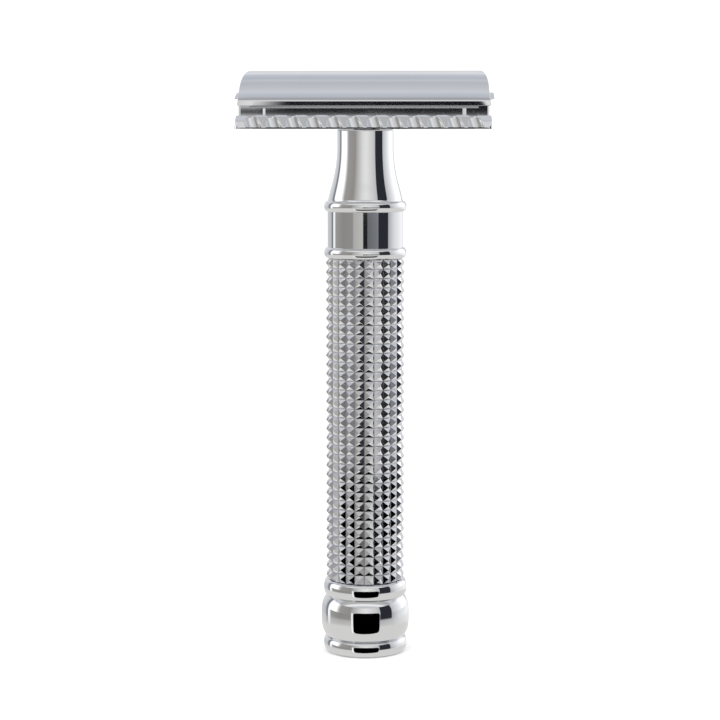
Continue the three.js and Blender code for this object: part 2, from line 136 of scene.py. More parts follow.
# Guard plate
PLATE_FOOT = 88.8
FLOOR_TOP = 90.0
PLATE_TOP_LENGTH = 41.5
PLATE_CORNER = 0.8
CORNER_SOFTNESS = 0.05
FLOOR_INSET = 0.1  # from the bars' ends
PLATE_CUT_TOP = 99.0  # of the cutters, well above the plate

# Safety bars: the scalloped stretch, and the plain ends that drop a little below it
BAR_TOP = 91.1
BAR_INNER = 11.3
BAR_LEAN = 1.05
BAR_CHAMFER = 0.35
BAR_CREST_ROUNDING = 0.15
BAR_ROUNDING = 0.08  # along the lower outer edge
FOOT_BAND = 0.3  # the bars' lowest strip, which has no flutes and is turned slightly under
FOOT_BAND_LEAN = math.radians(3.5)
END_DROP = 0.1
END_LEAN = 0.5
END_CHAMFER = 0.9
BAR_INNER_ROUNDING = 0.1
END_CREST_ROUNDING = 0.08
END_EDGE = 0.12
BAR_SECTION_POINTS = 110
BAR_HALF_STEPS = 170

# Flutes that make the scallops, leaning in at the top and slanting along the bar
FLUTE_PITCH = 3.28
FLUTES = 12
FLUTE_RADIUS = 1.5
FLUTE_LEAN = math.radians(18)
FLUTE_SLANT = math.radians(18)
FLUTE_DEPTH = 0.72
FLUTE_EDGE_SOFTNESS = 0.09
SCALLOP_FADE = 0.4  # along X, from the scallops to the plain ends
CREST_DIP = 0.24
CREST_DIP_HALF_WIDTH = 1.0
CREST_DIP_HEIGHT = 0.5

# Platform and end blocks, which carry the blade
BLOCK_FOOT = 89.1  # inside the floor
PLATFORM_HALF_WIDTH = 8.6
PLATFORM_LENGTH = 32.6
PLATFORM_EDGE = 0.18
END_BLOCK_HALF_WIDTH = 9.7
END_BLOCK_OUTER = 20.5
END_BLOCK_EDGE = 0.08
BLOCK_OVERLAP = 0.2
INNER_STRIP = 0.6  # the slanted strips at both ends of an end block's long faces
OUTER_STRIP = 0.3
STRIP_SLANT = math.radians(9.6)
STRIP_HOLD = 0.03  # to an extra row that keeps the flat beside a strip shaded flat

# Openings and pins
DRAIN_WIDTH = 1.5
DRAIN_ENDS = (3.0, 15.5)
DRAIN_MIDDLE = 10.0
PIN_SPACING = 29.0
PIN_RADIUS = 1.5
HOLE_GAP = 0.25

# Cap
CAP_WIDTH = 20.0
CAP_LIP_TOP = 93.45
CAP_EDGE = 0.13
LIP_TOP_ROUNDING = 0.1
LIP_BOTTOM_ROUNDING = 0.06
CAP_END_LEAN = 0.25
CAP_END_ROUND_WIDTH = 1.25
CAP_END_ROUND_HEIGHT = 3.4

# ---------------- sizes read from the frame


def cad_box(node):
    """A CAD node's lowest and highest corners at rest, in millimetres."""
    low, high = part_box(node)
    return Vector(low) / MM, Vector(high) / MM


SLEEVE_BOTTOM = cad_box("grip_sleeve")[0].z
POMMEL_TOP = SLEEVE_BOTTOM - GAP
SLEEVE_TOP = cad_box("grip_sleeve")[1].z
COLLAR_BOTTOM = SLEEVE_TOP + GAP
HANDLE_TOP = cad_box("neck_collar")[1].z
PLATE_LENGTH = 2 * cad_box("guard_plate")[1].x
PLATE_WIDTH = 2 * cad_box("guard_plate")[1].y
BLADE_LENGTH = 2 * cad_box("blade")[1].x
CAP_LENGTH = 2 * cad_box("cap")[1].x
CAP_TOP = cad_box("cap")[1].z

BEND_CENTRE = BLADE_EDGE_HEIGHT - BEND_RADIUS * math.cos(BLADE_WIDTH / 2 / BEND_RADIUS)
SEAT_RADIUS = BEND_RADIUS - BLADE_THICKNESS / 2 - 0.02
CAP_UNDERSIDE_RADIUS = BEND_RADIUS + BLADE_THICKNESS / 2 + 0.02

# ---------------- mesh helpers


def mesh_object(name, bm):
    """A new object in the scene, made of a bmesh that isn't needed afterwards."""
    mesh = bpy.data.meshes.new(name)
    bm.to_mesh(mesh)
    bm.free()
    made = bpy.data.objects.new(name, mesh)
    bpy.context.scene.collection.objects.link(made)
    return made


def finish_piece(name, bm, body, nodes, material, sharp_angle=35):
    """Makes a piece of a bmesh in millimetres, ties it to its body and finish, and hides the CAD nodes it
    stands for.
    """
    bmesh.ops.recalc_face_normals(bm, faces=bm.faces)
    bm.transform(Matrix.Scale(MM, 4))
    piece = mesh_object(name, bm)
    piece.data.shade_smooth()
    piece.data.set_sharp_from_angle(angle=math.radians(sharp_angle))
    piece.data.materials.append(material)
    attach(piece, body)
    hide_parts(*nodes)
    return piece


def join_rings(bm, rings):
    """Faces between closed rings of equally many vertices, each with the next."""
    for first, second in zip(rings, rings[1:]):
        for i in range(len(first)):
            j = (i + 1) % len(first)
            bm.faces.new((first[i], first[j], second[j], second[i]))


def circle(bm, radius, height, count, centre=(0.0, 0.0)):
    """A ring of vertices round an upright line."""
    turns = [TURN * i / count for i in range(count)]
    x, y = centre
    return [bm.verts.new((x + radius * math.cos(a), y + radius * math.sin(a), height)) for a in turns]


def add_turned(bm, profile, segments=160, centre=(0.0, 0.0)):
    """Turns a closed [radius, height] profile; points on the axis become single vertices."""
    columns = []
    for radius, height in profile:
        on_axis = radius < 1e-6
        columns.append(circle(bm, radius, height, 1 if on_axis else segments, centre))
    for lower, upper in zip(columns, columns[1:] + columns[:1]):
        if len(lower) == len(upper) == segments:
            join_rings(bm, [lower, upper])
        elif len(lower) == segments:
            for i in range(segments):
                bm.faces.new((lower[i], lower[(i + 1) % segments], upper[0]))
        elif len(upper) == segments:
            for i in range(segments):
                bm.faces.new((lower[0], upper[(i + 1) % segments], upper[i]))


def add_loft(bm, sections):
    """Joins closed sections of equally many points, and caps both ends."""
    rings = [[bm.verts.new(point) for point in section] for section in sections]
    join_rings(bm, rings)
    bm.faces.new(rings[0][::-1])
    bm.faces.new(rings[-1])


def bead(root, crest, bottom, top, steps=20):
    """Profile points of a half-round ring, from its bottom to its top."""
    points = []
    for i in range(steps + 1):
        angle = math.pi * (i / steps - 0.5)
        radius = root + (crest - root) * math.cos(angle)
        points.append((radius, (bottom + top) / 2 + (top - bottom) / 2 * math.sin(angle)))
    return points


def fillet(corner, before, after, radius, steps=4):
    """Points that round one corner of an outline by an arc-like curve of the given reach."""
    corner, before, after = Vector(corner), Vector(before), Vector(after)
    start = corner + (before - corner).normalized() * min(radius, (before - corner).length / 2)
    end = corner + (after - corner).normalized() * min(radius, (after - corner).length / 2)
    points = []
    for i in range(steps + 1):
        t = i / steps
        points.append(tuple(start * (1 - t) ** 2 + corner * 2 * t * (1 - t) + end * t * t))
    return points


def bend_height(radius, y):
    """Height of the blade's bend, or a surface beside it, at a distance y from the middle line."""
    return BEND_CENTRE + math.sqrt(radius * radius - y * y)


def boolean(target, cutter, operation):
    """Joins to or cuts from target, and removes the cutter."""
    modifier = target.modifiers.new("cut", "BOOLEAN")
    modifier.operation = operation
    modifier.solver = "EXACT"
    modifier.object = cutter
    graph = bpy.context.evaluated_depsgraph_get()
    mesh = bpy.data.meshes.new_from_object(target.evaluated_get(graph), depsgraph=graph)
    target.modifiers.clear()
    old = target.data
    target.data = mesh
    bpy.data.meshes.remove(old)
    bpy.data.objects.remove(cutter)


def scratch_object(bm):
    """A working object for boolean(), still in millimetres."""
    bmesh.ops.recalc_face_normals(bm, faces=bm.faces)
    return mesh_object("scratch", bm)


def rounded_box_outline(length, width, radius, steps=8):
    """A rectangle in X and Y whose corners are true arcs."""
    points = []
    for corner, (sx, sy) in enumerate(((1, 1), (-1, 1), (-1, -1), (1, -1))):
        for i in range(steps + 1):
            angle = TURN / 4 * (corner + i / steps)
            points.append((
                sx * (length / 2 - radius) + radius * math.cos(angle),
                sy * (width / 2 - radius) + radius * math.sin(angle),
            ))
    return points


def add_prism(bm, outline, bottom, top):
    """An upright prism over an outline in X and Y."""
    add_loft(bm, [[(x, y, z) for x, y in outline] for z in (bottom, top)])


# ---------------- handle pieces


def make_pommel(material):
    """The foot: a swelling barrel between two beads, and the bored spigot that enters the sleeve."""
    middle = (BARREL_BOTTOM + BARREL_TOP) / 2
    half = (BARREL_TOP - BARREL_BOTTOM) / 2
    steps = 64
    rod_end = cad_box("core_rod")[0].z - GAP
    barrel = []
    for i in range(1, steps):
        along = math.sin(math.pi * (i / steps - 0.5))
        crown = (BARREL_RADIUS - GROOVE_RADIUS) * (1 - abs(along) ** BARREL_SQUARENESS)
        barrel.append((GROOVE_RADIUS + crown, middle + half * along))
    profile = [
        (0, 0),
        (FOOT_RADIUS - FOOT_EDGE, 0),
        *bead(GROOVE_RADIUS, POMMEL_RING_RADIUS, FOOT_LIFT, BARREL_BOTTOM),
        *barrel,
        *bead(GROOVE_RADIUS, POMMEL_RING_RADIUS, BARREL_TOP, POMMEL_TOP),
        (SPIGOT_RADIUS, POMMEL_TOP),
        (SPIGOT_RADIUS, POMMEL_TOP + SPIGOT_LENGTH),
        (M4_RADIUS + GAP, POMMEL_TOP + SPIGOT_LENGTH),
        (M4_RADIUS + GAP, rod_end),
        (0, rod_end),
    ]
    bm = bmesh.new()
    add_turned(bm, profile)
    return finish_piece("pommel_turned", bm, "handle", ["pommel"], material)


def make_neck(material):
    """The plain band between two beads and the flare that narrows to the neck under the head.

    Rows set close together keep the shading of the straight neck straight.
    """
    flare_bottom = BAND_TOP + RING_HEIGHT
    a = Vector((NECK_BASE_RADIUS, flare_bottom + FLARE_START))
    b = Vector((FLARE_LOW_PULL[0], flare_bottom + FLARE_LOW_PULL[1]))
    c = Vector((FLARE_HIGH_PULL[0], flare_bottom + FLARE_HIGH_PULL[1]))
    d = Vector((NECK_RADIUS, NECK_STRAIGHT_FROM))
    flare = []
    for t in [*(i / 40 for i in range(40)), 0.999, 1.0]:
        point = a * (1 - t) ** 3 + b * 3 * t * (1 - t) ** 2 + c * 3 * t * t * (1 - t) + d * t**3
        flare.append(tuple(point))
    rod_end = cad_box("core_rod")[1].z + GAP
    insert_low = cad_box("thread_insert")[0].z - GAP
    profile = [
        (0, rod_end),
        (M4_RADIUS + GAP, rod_end),
        (M4_RADIUS + GAP, COLLAR_BOTTOM - SPIGOT_LENGTH),
        (SPIGOT_RADIUS, COLLAR_BOTTOM - SPIGOT_LENGTH),
        (SPIGOT_RADIUS, COLLAR_BOTTOM),
        *bead(BAND_RADIUS, RING_RADIUS, COLLAR_BOTTOM, COLLAR_BOTTOM + RING_HEIGHT),
        *bead(BAND_RADIUS, RING_RADIUS, BAND_TOP, flare_bottom),
        *flare,
        (NECK_RADIUS, NECK_STRAIGHT_FROM + 0.01),
        (NECK_RADIUS, HANDLE_TOP - NECK_EDGE - GAP),
        (NECK_RADIUS, HANDLE_TOP - NECK_EDGE),
        (NECK_RADIUS - NECK_EDGE * 0.2, HANDLE_TOP - NECK_EDGE * 0.3),
        (NECK_RADIUS - NECK_EDGE * 0.75, HANDLE_TOP),
        (SOCKET_RADIUS + GAP, HANDLE_TOP),
        (SOCKET_RADIUS, HANDLE_TOP - GAP),
        (SOCKET_RADIUS, insert_low),
        (0, insert_low),
    ]
    bm = bmesh.new()
    add_turned(bm, profile)
    return finish_piece("neck_turned", bm, "handle", ["neck_collar"], material)


def make_sleeve(material):
    """The tube of pyramids: each is a raised frustum with a narrow flat valley round it."""
    bm = bmesh.new()
    cell = (SLEEVE_TOP - SLEEVE_BOTTOM) / GRIP_ROWS
    turn = TURN / GRIP_COLUMNS
    valley_turn = VALLEY_FLAT / 2 / VALLEY_RADIUS
    apex_turn = APEX_FLAT / 2 / APEX_RADIUS

    def point(radius, angle, height):
        return bm.verts.new((radius * math.cos(angle), radius * math.sin(angle), height))

    def frustum_ring(radius, row, column, half_turn, half_height):
        angle = turn * (column + 0.5)
        height = SLEEVE_BOTTOM + cell * (row + 0.5)
        corners = ((-1, -1), (1, -1), (1, 1), (-1, 1))
        return [point(radius, angle + u * half_turn, height + v * half_height) for u, v in corners]

    feet = {}
    for row in range(GRIP_ROWS):
        for column in range(GRIP_COLUMNS):
            foot = frustum_ring(
                VALLEY_RADIUS, row, column, turn / 2 - valley_turn, cell / 2 - VALLEY_FLAT / 2)
            top = frustum_ring(APEX_RADIUS, row, column, apex_turn, APEX_FLAT / 2)
            for i in range(4):
                j = (i + 1) % 4
                bm.faces.new((foot[i], foot[j], top[j], top[i]))
            bm.faces.new(top)
            feet[row, column] = foot
    for row in range(GRIP_ROWS):
        for column in range(GRIP_COLUMNS):
            here = feet[row, column]
            right = feet[row, (column + 1) % GRIP_COLUMNS]
            bm.faces.new((here[1], right[0], right[3], here[2]))
            if row + 1 < GRIP_ROWS:
                above = feet[row + 1, column]
                above_right = feet[row + 1, (column + 1) % GRIP_COLUMNS]
                bm.faces.new((here[3], here[2], above[1], above[0]))
                bm.faces.new((here[2], right[3], above_right[0], above[1]))
    bore = {}
    for height in (SLEEVE_BOTTOM, SLEEVE_TOP):
        bore[height] = [
            (point(GRIP_BORE_RADIUS, turn * i + valley_turn, height),
             point(GRIP_BORE_RADIUS, turn * (i + 1) - valley_turn, height))
            for i in range(GRIP_COLUMNS)
        ]
    for height, row, corners in ((SLEEVE_BOTTOM, 0, (0, 1)), (SLEEVE_TOP, GRIP_ROWS - 1, (3, 2))):
        for i in range(GRIP_COLUMNS):
            j = (i + 1) % GRIP_COLUMNS
            left, right = feet[row, i][corners[0]], feet[row, i][corners[1]]
            following = feet[row, j][corners[0]]
            inner = bore[height]
            bm.faces.new((left, right, inner[i][1], inner[i][0]))
            bm.faces.new((right, following, inner[j][0], inner[i][1]))
    low, high = bore[SLEEVE_BOTTOM], bore[SLEEVE_TOP]
    for i in range(GRIP_COLUMNS):
        j = (i + 1) % GRIP_COLUMNS
        bm.faces.new((low[i][0], low[i][1], high[i][1], high[i][0]))
        bm.faces.new((low[i][1], low[j][0], high[j][0], high[i][1]))
    return finish_piece(
        "grip_pyramids", bm, "handle", ["grip_sleeve"], material, sharp_angle=20)


def thread_profile(phase):
    """Height of a 60-degree thread at a place along its pitch, from 0 at the root to 1 at the crest."""
    rise = abs(2 * (phase % 1.0) - 1)
    return min(1.0, max(0.0, (rise - THREAD_ROOT) / THREAD_FLANK))


def add_threaded(bm, bottom, top, radius, pitch, plain, chamfer=0.4, segments=48, inward=False):
    """A turned rod, or a bore, whose surface is a real helix; plain(z) says where it is smooth."""
    rows = int((top - bottom) / pitch * THREAD_ROWS)
    depth = THREAD_DEPTH * pitch
    rings = []
    for row in range(rows + 1):
        z = bottom + (top - bottom) * row / rows
        end = min(z - bottom, top - z)
        ring = []
        for i in range(segments):
            angle = TURN * i / segments
            cut = 0.0 if plain(z) else depth * (1 - thread_profile(z / pitch - angle / TURN))
            cut = max(cut, chamfer - end)
            reach = radius - cut
            if inward:
                reach = radius + max(depth - cut, chamfer - end)
            ring.append(bm.verts.new((reach * math.cos(angle), reach * math.sin(angle), z)))
        rings.append(ring)
    join_rings(bm, rings)
    return rings[0], rings[-1]


def make_core_rod(material):
    """The rod that draws the handle together, threaded at both ends and plain between."""
    low, high = cad_box("core_rod")
    bm = bmesh.new()
    threaded_below = POMMEL_TOP
    threaded_above = COLLAR_BOTTOM - ROD_THREAD_BELOW_COLLAR

    def plain(z):
        return threaded_below < z < threaded_above

    first, last = add_threaded(bm, low.z, high.z, M4_RADIUS, M4_PITCH, plain, segments=32)
    bm.faces.new(first[::-1])
    bm.faces.new(last)
    return finish_piece("core_rod_threaded", bm, "handle", ["core_rod"], material)


def make_insert(material):
    """The brass bush: a plain outside and a threaded bore, joined by flat ends."""
    low, high = cad_box("thread_insert")
    bm = bmesh.new()
    bore_low, bore_high = add_threaded(
        bm, low.z, high.z, M5_RADIUS + GAP, M5_PITCH, lambda z: False, chamfer=0.3, inward=True)
    count = len(bore_low)
    outer = high.x - INSERT_CLEARANCE
    outside = (
        (outer - INSERT_EDGE, low.z),
        (outer, low.z + INSERT_EDGE),
        (outer, high.z - INSERT_EDGE),
        (outer - INSERT_EDGE, high.z),
    )
    rings = [circle(bm, radius, height, count) for radius, height in outside]
    join_rings(bm, [bore_low, *rings, bore_high])
    return finish_piece("insert_threaded", bm, "handle", ["thread_insert"], material)


# ---------------- guard plate


def bar_section(top, lean, chamfer, crest_reach):
    """The back bar's outline in Y and Z, from the plate's foot out, up and in, in short even steps."""
    outer = PLATE_WIDTH / 2
    corners = [
        ((BAR_INNER, PLATE_FOOT), 0.0),
        ((outer, PLATE_FOOT), 0.0),
        ((outer, PLATE_FOOT + FOOT_BAND), 0.0),
        ((outer - lean, top - chamfer), crest_reach),
        ((outer - lean - chamfer, top), crest_reach),
        ((BAR_INNER, top), BAR_INNER_ROUNDING),
        ((BAR_INNER, FLOOR_TOP - 0.3), 0.0),
    ]
    turns = []
    for i, (corner, reach) in enumerate(corners):
        before, after = corners[i - 1][0], corners[(i + 1) % len(corners)][0]
        turns += fillet(corner, before, after, reach, 6) if reach else [corner]
    return resampled(turns, BAR_SECTION_POINTS)


def smooth_min(a, b, width):
    """The smaller of two values, with the step between them rounded off."""
    near = max(width - abs(a - b), 0.0) / width
    return min(a, b) - near * near * width / 4


def off_flute(z, x):
    """How far a place on the back bar is, along X, from the middle of its nearest flute."""
    x -= (z - (BAR_TOP + PLATE_FOOT) / 2) * math.tan(FLUTE_SLANT)
    last = (FLUTES - 1) / 2
    nearest = max(-last, min(last, round(x / FLUTE_PITCH - 0.5) + 0.5))
    return abs(x - nearest * FLUTE_PITCH)


def bar_point(y, z, x, corner_y):
    """A point of the back bar's section once its flutes, foot rounding and plan corner are shaped."""
    across = off_flute(z, x)
    if across < FLUTE_RADIUS and z > PLATE_FOOT + FOOT_BAND:
        axis = PLATE_WIDTH / 2 + FLUTE_RADIUS - FLUTE_DEPTH - (z - PLATE_FOOT) * math.tan(FLUTE_LEAN)
        y = smooth_min(y, axis - math.sqrt(FLUTE_RADIUS**2 - across**2), FLUTE_EDGE_SOFTNESS)
    low = min(BAR_ROUNDING, max(0.0, BAR_ROUNDING - (z - PLATE_FOOT)))
    outward = min(1.0, (y - BAR_INNER) / (2 * BAR_ROUNDING))
    under = max(0.0, FOOT_BAND - (z - PLATE_FOOT)) * math.tan(FOOT_BAND_LEAN)
    y -= (BAR_ROUNDING - math.sqrt(BAR_ROUNDING**2 - low**2) + under) * outward
    return smooth_min(y, corner_y, CORNER_SOFTNESS)


def crest_dip(z, x):
    """How much the crest of the bar is worn down where a flute runs out through it."""
    near_top = min(1.0, max(0.0, 1 - (BAR_TOP - z) / CREST_DIP_HEIGHT))
    across = min(1.0, off_flute(BAR_TOP, x) / CREST_DIP_HALF_WIDTH)
    return CREST_DIP * near_top * (1 - across * across) ** 2


def add_bar(bm, side):
    """One safety bar along X; side is 1 for the back and -1 for the front, half a turn round."""
    raised = bar_section(BAR_TOP, BAR_LEAN, BAR_CHAMFER, BAR_CREST_ROUNDING)
    plain = bar_section(BAR_TOP - END_DROP, END_LEAN, END_CHAMFER, END_CREST_ROUNDING)
    raised_half = FLUTE_PITCH * (FLUTES - 1) / 2
    half = PLATE_LENGTH / 2
    middle_y, middle_z = (BAR_INNER + PLATE_WIDTH / 2) / 2, (PLATE_FOOT + BAR_TOP) / 2
    last = BAR_HALF_STEPS - 2
    places = [half * k / BAR_HALF_STEPS for k in range(-last, last + 1)]
    rounding = [half - END_EDGE * (1 - math.sin(TURN / 4 * k / 6)) for k in range(7)]
    places = [-x for x in reversed(rounding)] + places + rounding
    sections = []
    for x in places:
        blend = min(1.0, max(0.0, (abs(x) - raised_half) / SCALLOP_FADE))
        beyond = min(PLATE_CORNER, max(0.0, abs(x) - (half - PLATE_CORNER)))
        corner_y = PLATE_WIDTH / 2 - PLATE_CORNER + math.sqrt(PLATE_CORNER**2 - beyond**2)
        edge = min(1.0, max(0.0, abs(x) - (half - END_EDGE)) / END_EDGE)
        shrink = 1 - (1 - math.sqrt(1 - edge * edge)) * END_EDGE
        section = []
        for (ya, za), (yb, zb) in zip(raised, plain):
            y, z = ya + (yb - ya) * blend, za + (zb - za) * blend
            y = middle_y + (bar_point(y, z, side * x, corner_y) - middle_y) * shrink
            z = middle_z + (z - crest_dip(z, side * x) - middle_z) * shrink
            lean = (z - PLATE_FOOT) / (BAR_TOP - PLATE_FOOT) * (PLATE_LENGTH - PLATE_TOP_LENGTH) / 2
            lean *= max(0.0, (abs(x) - raised_half) / (half - raised_half))
            section.append((x - math.copysign(lean, x), side * y, z))
        sections.append(section)
    add_loft(bm, sections)


def resampled(outline, count):
    """An open outline as equally many points, spread evenly along it."""
    lengths = [0.0]
    for (ya, za), (yb, zb) in zip(outline, outline[1:]):
        lengths.append(lengths[-1] + math.hypot(yb - ya, zb - za))
    points, k = [], 0
    for i in range(count):
        along = lengths[-1] * i / (count - 1)
        while k < len(outline) - 2 and lengths[k + 1] < along:
            k += 1
        t = (along - lengths[k]) / (lengths[k + 1] - lengths[k])
        (ya, za), (yb, zb) = outline[k], outline[k + 1]
        points.append((ya + (yb - ya) * t, za + (zb - za) * t))
    return points


def arched_block(stations, edge):
    """A block of (x, half width) stations from the floor up to the blade's seat, its edges rounded."""
    bm = bmesh.new()
    steps = 24
    sections = []
    for x, half_width in stations:
        section = [(x, -half_width, BLOCK_FOOT), (x, half_width, BLOCK_FOOT)]
        for i in range(steps + 1):
            y = half_width * (1 - 2 * i / steps)
            section.append((x, y, bend_height(SEAT_RADIUS, y)))
        sections.append(section)
    add_loft(bm, sections)
    sharp = [e for e in bm.edges if e.is_manifold and e.calc_face_angle() > math.radians(40)]
    sharp = [e for e in sharp if max(v.co.z for v in e.verts) > FLOOR_TOP]
    bmesh.ops.bevel(bm, geom=sharp, offset=edge, segments=3, profile=0.6, affect="EDGES")
    return scratch_object(bm)


def end_block(side):
    """The block under one end of the blade, with a slanted strip at both ends of each long face."""
    near, far = PLATFORM_LENGTH / 2 - BLOCK_OVERLAP, END_BLOCK_OUTER
    slope = math.tan(STRIP_SLANT)
    stations = (
        (near, END_BLOCK_HALF_WIDTH - INNER_STRIP * slope),
        (near + INNER_STRIP, END_BLOCK_HALF_WIDTH),
        (near + INNER_STRIP + STRIP_HOLD, END_BLOCK_HALF_WIDTH),
        (far - OUTER_STRIP - STRIP_HOLD, END_BLOCK_HALF_WIDTH),
        (far - OUTER_STRIP, END_BLOCK_HALF_WIDTH),
        (far, END_BLOCK_HALF_WIDTH - OUTER_STRIP * slope),
    )
    return arched_block([(side * x, half_width) for x, half_width in stations], END_BLOCK_EDGE)


def plate_openings():
    """A cutter for the four drain slots, the stud's hole and the pins' holes."""
    bm = bmesh.new()
    length = DRAIN_ENDS[1] - DRAIN_ENDS[0]
    slot = rounded_box_outline(length, DRAIN_WIDTH, DRAIN_WIDTH / 2 - 0.001, 12)
    for side_x in (-1, 1):
        for side_y in (-1, 1):
            middle = side_x * sum(DRAIN_ENDS) / 2
            placed = [(x + middle, y + side_y * DRAIN_MIDDLE) for x, y in slot]
            add_prism(bm, placed, PLATE_FOOT - 1, FLOOR_TOP + 0.6)
    for x, radius in ((0, M5_RADIUS), (-PIN_SPACING / 2, PIN_RADIUS), (PIN_SPACING / 2, PIN_RADIUS)):
        wall = radius + HOLE_GAP
        countersunk = [
            (0, PLATE_FOOT - 1),
            (wall + 1.2, PLATE_FOOT - 1),
            (wall, PLATE_FOOT + 0.2),
            (wall, PLATE_CUT_TOP),
            (0, PLATE_CUT_TOP),
        ]
        add_turned(bm, countersunk, 64, (x, 0.0))
    return scratch_object(bm)


def make_guard_plate(material):
    """The floor, platform and end blocks are cut together, and the bars lie along their sides."""
    floor_bm = bmesh.new()
    outline = rounded_box_outline(PLATE_LENGTH - 2 * FLOOR_INSET, 2 * BAR_INNER, 0.01, 1)
    add_prism(floor_bm, outline, PLATE_FOOT, FLOOR_TOP)
    plate = scratch_object(floor_bm)
    half = PLATFORM_LENGTH / 2
    platform = arched_block([(-half, PLATFORM_HALF_WIDTH), (half, PLATFORM_HALF_WIDTH)], PLATFORM_EDGE)
    boolean(plate, platform, "UNION")
    for side in (-1, 1):
        boolean(plate, end_block(side), "UNION")
    boolean(plate, plate_openings(), "DIFFERENCE")

    bm = bmesh.new()
    bm.from_mesh(plate.data)
    bpy.data.objects.remove(plate)
    for side in (-1, 1):
        add_bar(bm, side)
    return finish_piece(
        "guard_plate_cast", bm, "guard_plate", ["guard_plate"], material, sharp_angle=38)


# ---------------- blade


def blade_opening():
    """A cutter for the slot and its three eyes, standing higher and lower than the blade."""
    bm = bmesh.new()
    slot = rounded_box_outline(BLADE_SLOT_LENGTH, BLADE_SLOT_WIDTH, BLADE_SLOT_WIDTH / 2 - 0.001, 10)
    add_prism(bm, slot, BLADE_CUT_BOTTOM + 1, BLADE_CUT_TOP - 1)
    opening = scratch_object(bm)
    pin_x = PIN_SPACING / 2
    for x, radius in ((0.0, CENTRE_EYE_RADIUS), (-pin_x, PIN_EYE_RADIUS), (pin_x, PIN_EYE_RADIUS)):
        eye = bmesh.new()
        ends = (BLADE_CUT_BOTTOM, BLADE_CUT_TOP)
        add_turned(eye, [(0, ends[0]), (radius, ends[0]), (radius, ends[1]), (0, ends[1])], 64, (x, 0.0))
        boolean(opening, scratch_object(eye), "UNION")
    return opening


def corner_notch(side_x, side_y):
    """A cutter for one corner, which leaves the end tab narrower than the blade."""
    size = 6.0
    tab_y = BEND_RADIUS * math.sin(BLADE_TAB_WIDTH / 2 / BEND_RADIUS)
    middle_x, middle_y = side_x * (BLADE_EDGE_LENGTH / 2 + size / 2), side_y * (tab_y + size / 2)
    bm = bmesh.new()
    box = rounded_box_outline(size, size, NOTCH_CORNER)
    add_prism(bm, [(x + middle_x, y + middle_y) for x, y in box], BLADE_CUT_BOTTOM, BLADE_CUT_TOP)
    return scratch_object(bm)


def make_blade(material):
    """A bent strip with ground edges, notched corners and a slot with three eyes."""
    half = BLADE_WIDTH / 2
    across = [half, half - GROUND_WIDTH / 3, half - GROUND_WIDTH]
    across += [(half - GROUND_WIDTH) * (1 - i / 12) for i in range(1, 13)]
    across = across + [-a for a in across[-2::-1]]

    def thickness(a):
        ground = (half - abs(a)) / GROUND_WIDTH
        return BLADE_THICKNESS * min(1.0, GROUND_EDGE + (1 - GROUND_EDGE) * ground)

    def bent(x, a, side):
        radius = BEND_RADIUS + side * thickness(a) / 2
        angle = a / BEND_RADIUS
        return (x, radius * math.sin(angle), BEND_CENTRE + radius * math.cos(angle))

    bm = bmesh.new()
    sections = []
    for x in (-BLADE_LENGTH / 2, -BLADE_INNER_ROW, BLADE_INNER_ROW, BLADE_LENGTH / 2):
        upper = [bent(x, a, 1) for a in across]
        lower = [bent(x, a, -1) for a in reversed(across)]
        sections.append(upper + lower)
    add_loft(bm, sections)
    blade = scratch_object(bm)

    boolean(blade, blade_opening(), "DIFFERENCE")
    for side_x in (-1, 1):
        for side_y in (-1, 1):
            boolean(blade, corner_notch(side_x, side_y), "DIFFERENCE")

    final = bmesh.new()
    final.from_mesh(blade.data)
    bpy.data.objects.remove(blade)
    return finish_piece("blade_ground", final, "blade", ["blade"], material, sharp_angle=25)


# ---------------- cap


def cap_section(inset):
    """The cap's outline in Y and Z, drawn in by inset: dome points, then underside points.

    Both run from +Y to -Y, in matching numbers, with the lip's corners rounded.
    """
    half_width = CAP_WIDTH / 2
    rise = CAP_TOP - CAP_LIP_TOP
    dome_radius = (half_width**2 + rise**2) / (2 * rise)
    widest = math.asin(half_width / dome_radius)
    steps = 48
    dome, under = [], []
    for i in range(steps + 1):
        y = dome_radius * math.sin((1 - 2 * i / steps) * widest)
        dome.append((y, CAP_TOP - dome_radius + math.sqrt(dome_radius**2 - y * y)))
        under.append((y, bend_height(CAP_UNDERSIDE_RADIUS, y)))
    top_right = fillet(dome[0], under[0], dome[1], LIP_TOP_ROUNDING)
    top_left = fillet(dome[-1], dome[-2], under[-1], LIP_TOP_ROUNDING)
    low_right = fillet(under[0], dome[0], under[1], LIP_BOTTOM_ROUNDING)
    low_left = fillet(under[-1], under[-2], dome[-1], LIP_BOTTOM_ROUNDING)
    dome = top_right + dome[1:-1] + top_left
    under = low_right + under[1:-1] + low_left
    shrink = 1 - inset / half_width
    return [(y * shrink, z - inset) for y, z in dome], [(y * shrink, z + inset) for y, z in under]


def cap_end(z):
    """Half the cap's length at a height: its ends lean in a little and round over into the top."""
    shoulder = CAP_TOP - CAP_END_ROUND_HEIGHT
    foot = BLADE_EDGE_HEIGHT
    if z <= shoulder:
        return CAP_LENGTH / 2 - CAP_END_LEAN * (z - foot) / (shoulder - foot)
    up = min(1.0, (z - shoulder) / CAP_END_ROUND_HEIGHT)
    return CAP_LENGTH / 2 - CAP_END_LEAN - CAP_END_ROUND_WIDTH * (1 - math.sqrt(1 - up * up))


